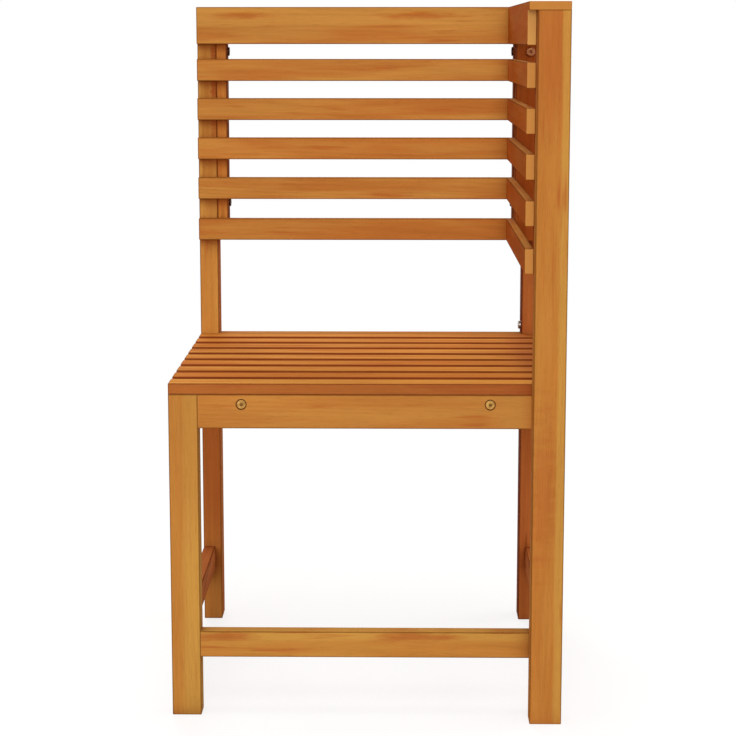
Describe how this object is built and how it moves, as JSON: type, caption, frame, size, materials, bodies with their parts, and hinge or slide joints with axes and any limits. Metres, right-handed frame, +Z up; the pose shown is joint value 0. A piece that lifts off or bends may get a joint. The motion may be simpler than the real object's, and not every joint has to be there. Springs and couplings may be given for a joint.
{
  "type": "corner garden chair",
  "caption": "Square wooden corner garden chair with a slatted seat, a slatted back panel and a slatted panel on one side, joined with tenons, socket bolts and screws.",
  "frame": {"origin": "on the floor, under the middle of the chair's box", "axes": "+Z up, -Y out of the open front of the seat, +X to the side that has the slatted panel"},
  "size_m": [0.494, 0.494, 0.9],
  "materials": {
    "frame_wood": "oiled",
    "slat_wood": "oiled",
    "bolt_zinc": "yellow zinc plated",
    "grey_steel": "zinc plated",
    "dowel_wood": "plain"
  },
  "bodies": {
    "root": {"front_left_leg": "frame_wood", "front_right_leg": "frame_wood", "front_right_post": "frame_wood", "rear_left_post": "frame_wood", "rear_right_post": "frame_wood", "front_apron": "frame_wood", "rear_rail": "frame_wood", "left_side_rail": "frame_wood", "right_side_rail": "frame_wood", "left_seat_support": "frame_wood", "right_seat_support": "frame_wood", "front_stretcher": "frame_wood", "left_side_stretcher": "frame_wood", "right_side_stretcher": "frame_wood", "left_back_batten": "frame_wood", "right_back_batten": "frame_wood", "front_side_batten": "frame_wood", "rear_side_batten": "frame_wood", "back_cap_rail": "frame_wood", "side_cap_rail": "frame_wood", "seat_slat_1": "slat_wood", "seat_slat_2": "slat_wood", "seat_slat_3": "slat_wood", "seat_slat_4": "slat_wood", "seat_slat_5": "slat_wood", "seat_slat_6": "slat_wood", "seat_slat_7": "slat_wood", "seat_slat_8": "slat_wood", "seat_slat_9": "slat_wood", "back_slat_1": "slat_wood", "back_slat_2": "slat_wood", "back_slat_3": "slat_wood", "back_slat_4": "slat_wood", "back_slat_5": "slat_wood", "back_slat_6": "slat_wood", "side_slat_1": "slat_wood", "side_slat_2": "slat_wood", "side_slat_3": "slat_wood", "side_slat_4": "slat_wood", "side_slat_5": "slat_wood", "side_slat_6": "slat_wood", "apron_bolts": "bolt_zinc", "rear_rail_bolts": "bolt_zinc", "rear_post_bolts": "bolt_zinc", "back_panel_bolts": "bolt_zinc", "side_panel_bolts": "bolt_zinc", "front_post_bolts": "bolt_zinc", "support_barrel_nuts": "bolt_zinc", "rail_barrel_nuts": "bolt_zinc", "threaded_inserts": "bolt_zinc", "link_bolt": "grey_steel", "link_nut": "grey_steel", "seat_slat_screws": "grey_steel", "back_slat_screws": "grey_steel", "side_slat_screws": "grey_steel", "cap_dowels": "dowel_wood"}
  },
  "joints": []
}
